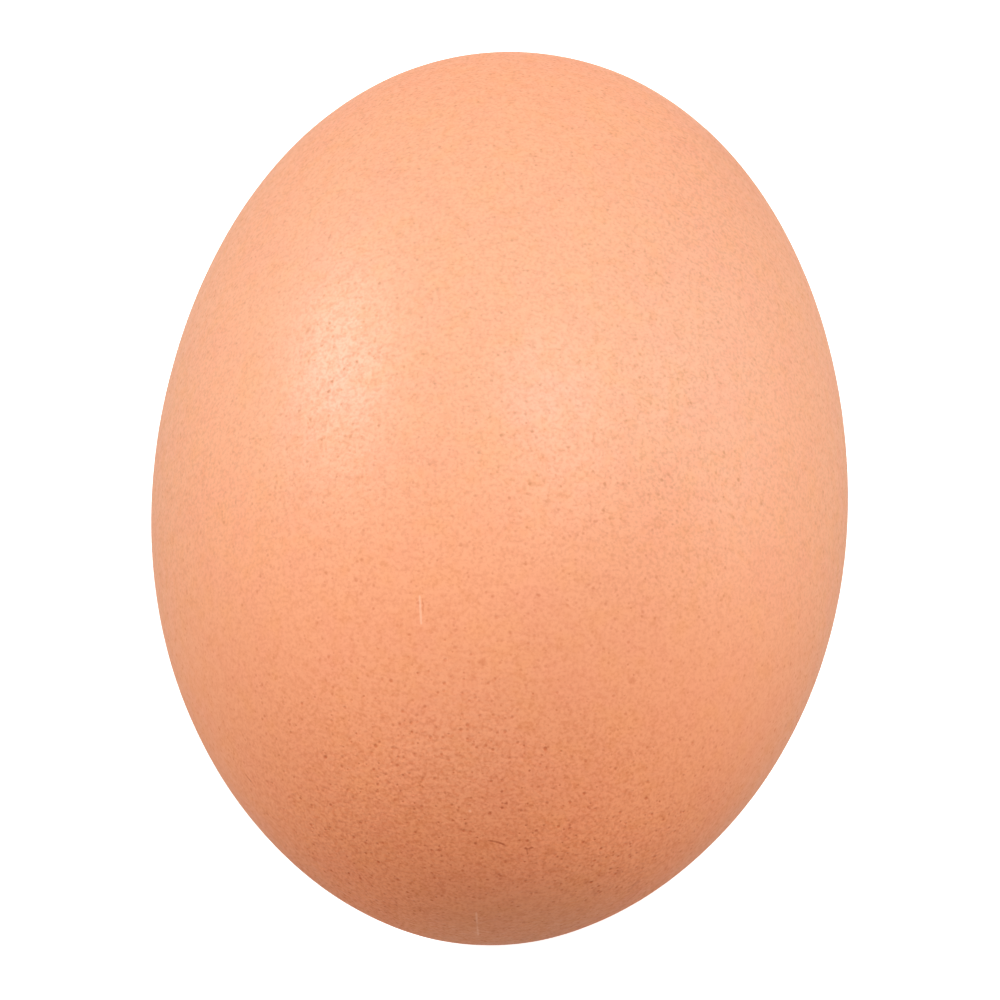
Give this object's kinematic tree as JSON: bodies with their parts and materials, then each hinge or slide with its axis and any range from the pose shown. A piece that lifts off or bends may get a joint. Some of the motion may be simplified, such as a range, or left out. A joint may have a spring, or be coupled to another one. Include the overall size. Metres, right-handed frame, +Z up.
{
  "type": "egg",
  "caption": "Brown hen's egg in its whole shell, lying on its side on a small flat resting spot.",
  "frame": {"origin": "middle of the small flat spot on the shell that the egg rests on", "axes": "+Z up; +Y towards the blunt end, within 2.3 degrees of the egg's long axis, which dips a little towards that end as the egg comes to rest; +X to the right, seen from the pointed end"},
  "size_m": [0.043, 0.058, 0.0429],
  "materials": {
    "eggshell": "matt tan shell with a soft satin gloss, fine dark pores and faint mottling"
  },
  "bodies": {
    "root": {"egg": "eggshell"}
  },
  "joints": []
}
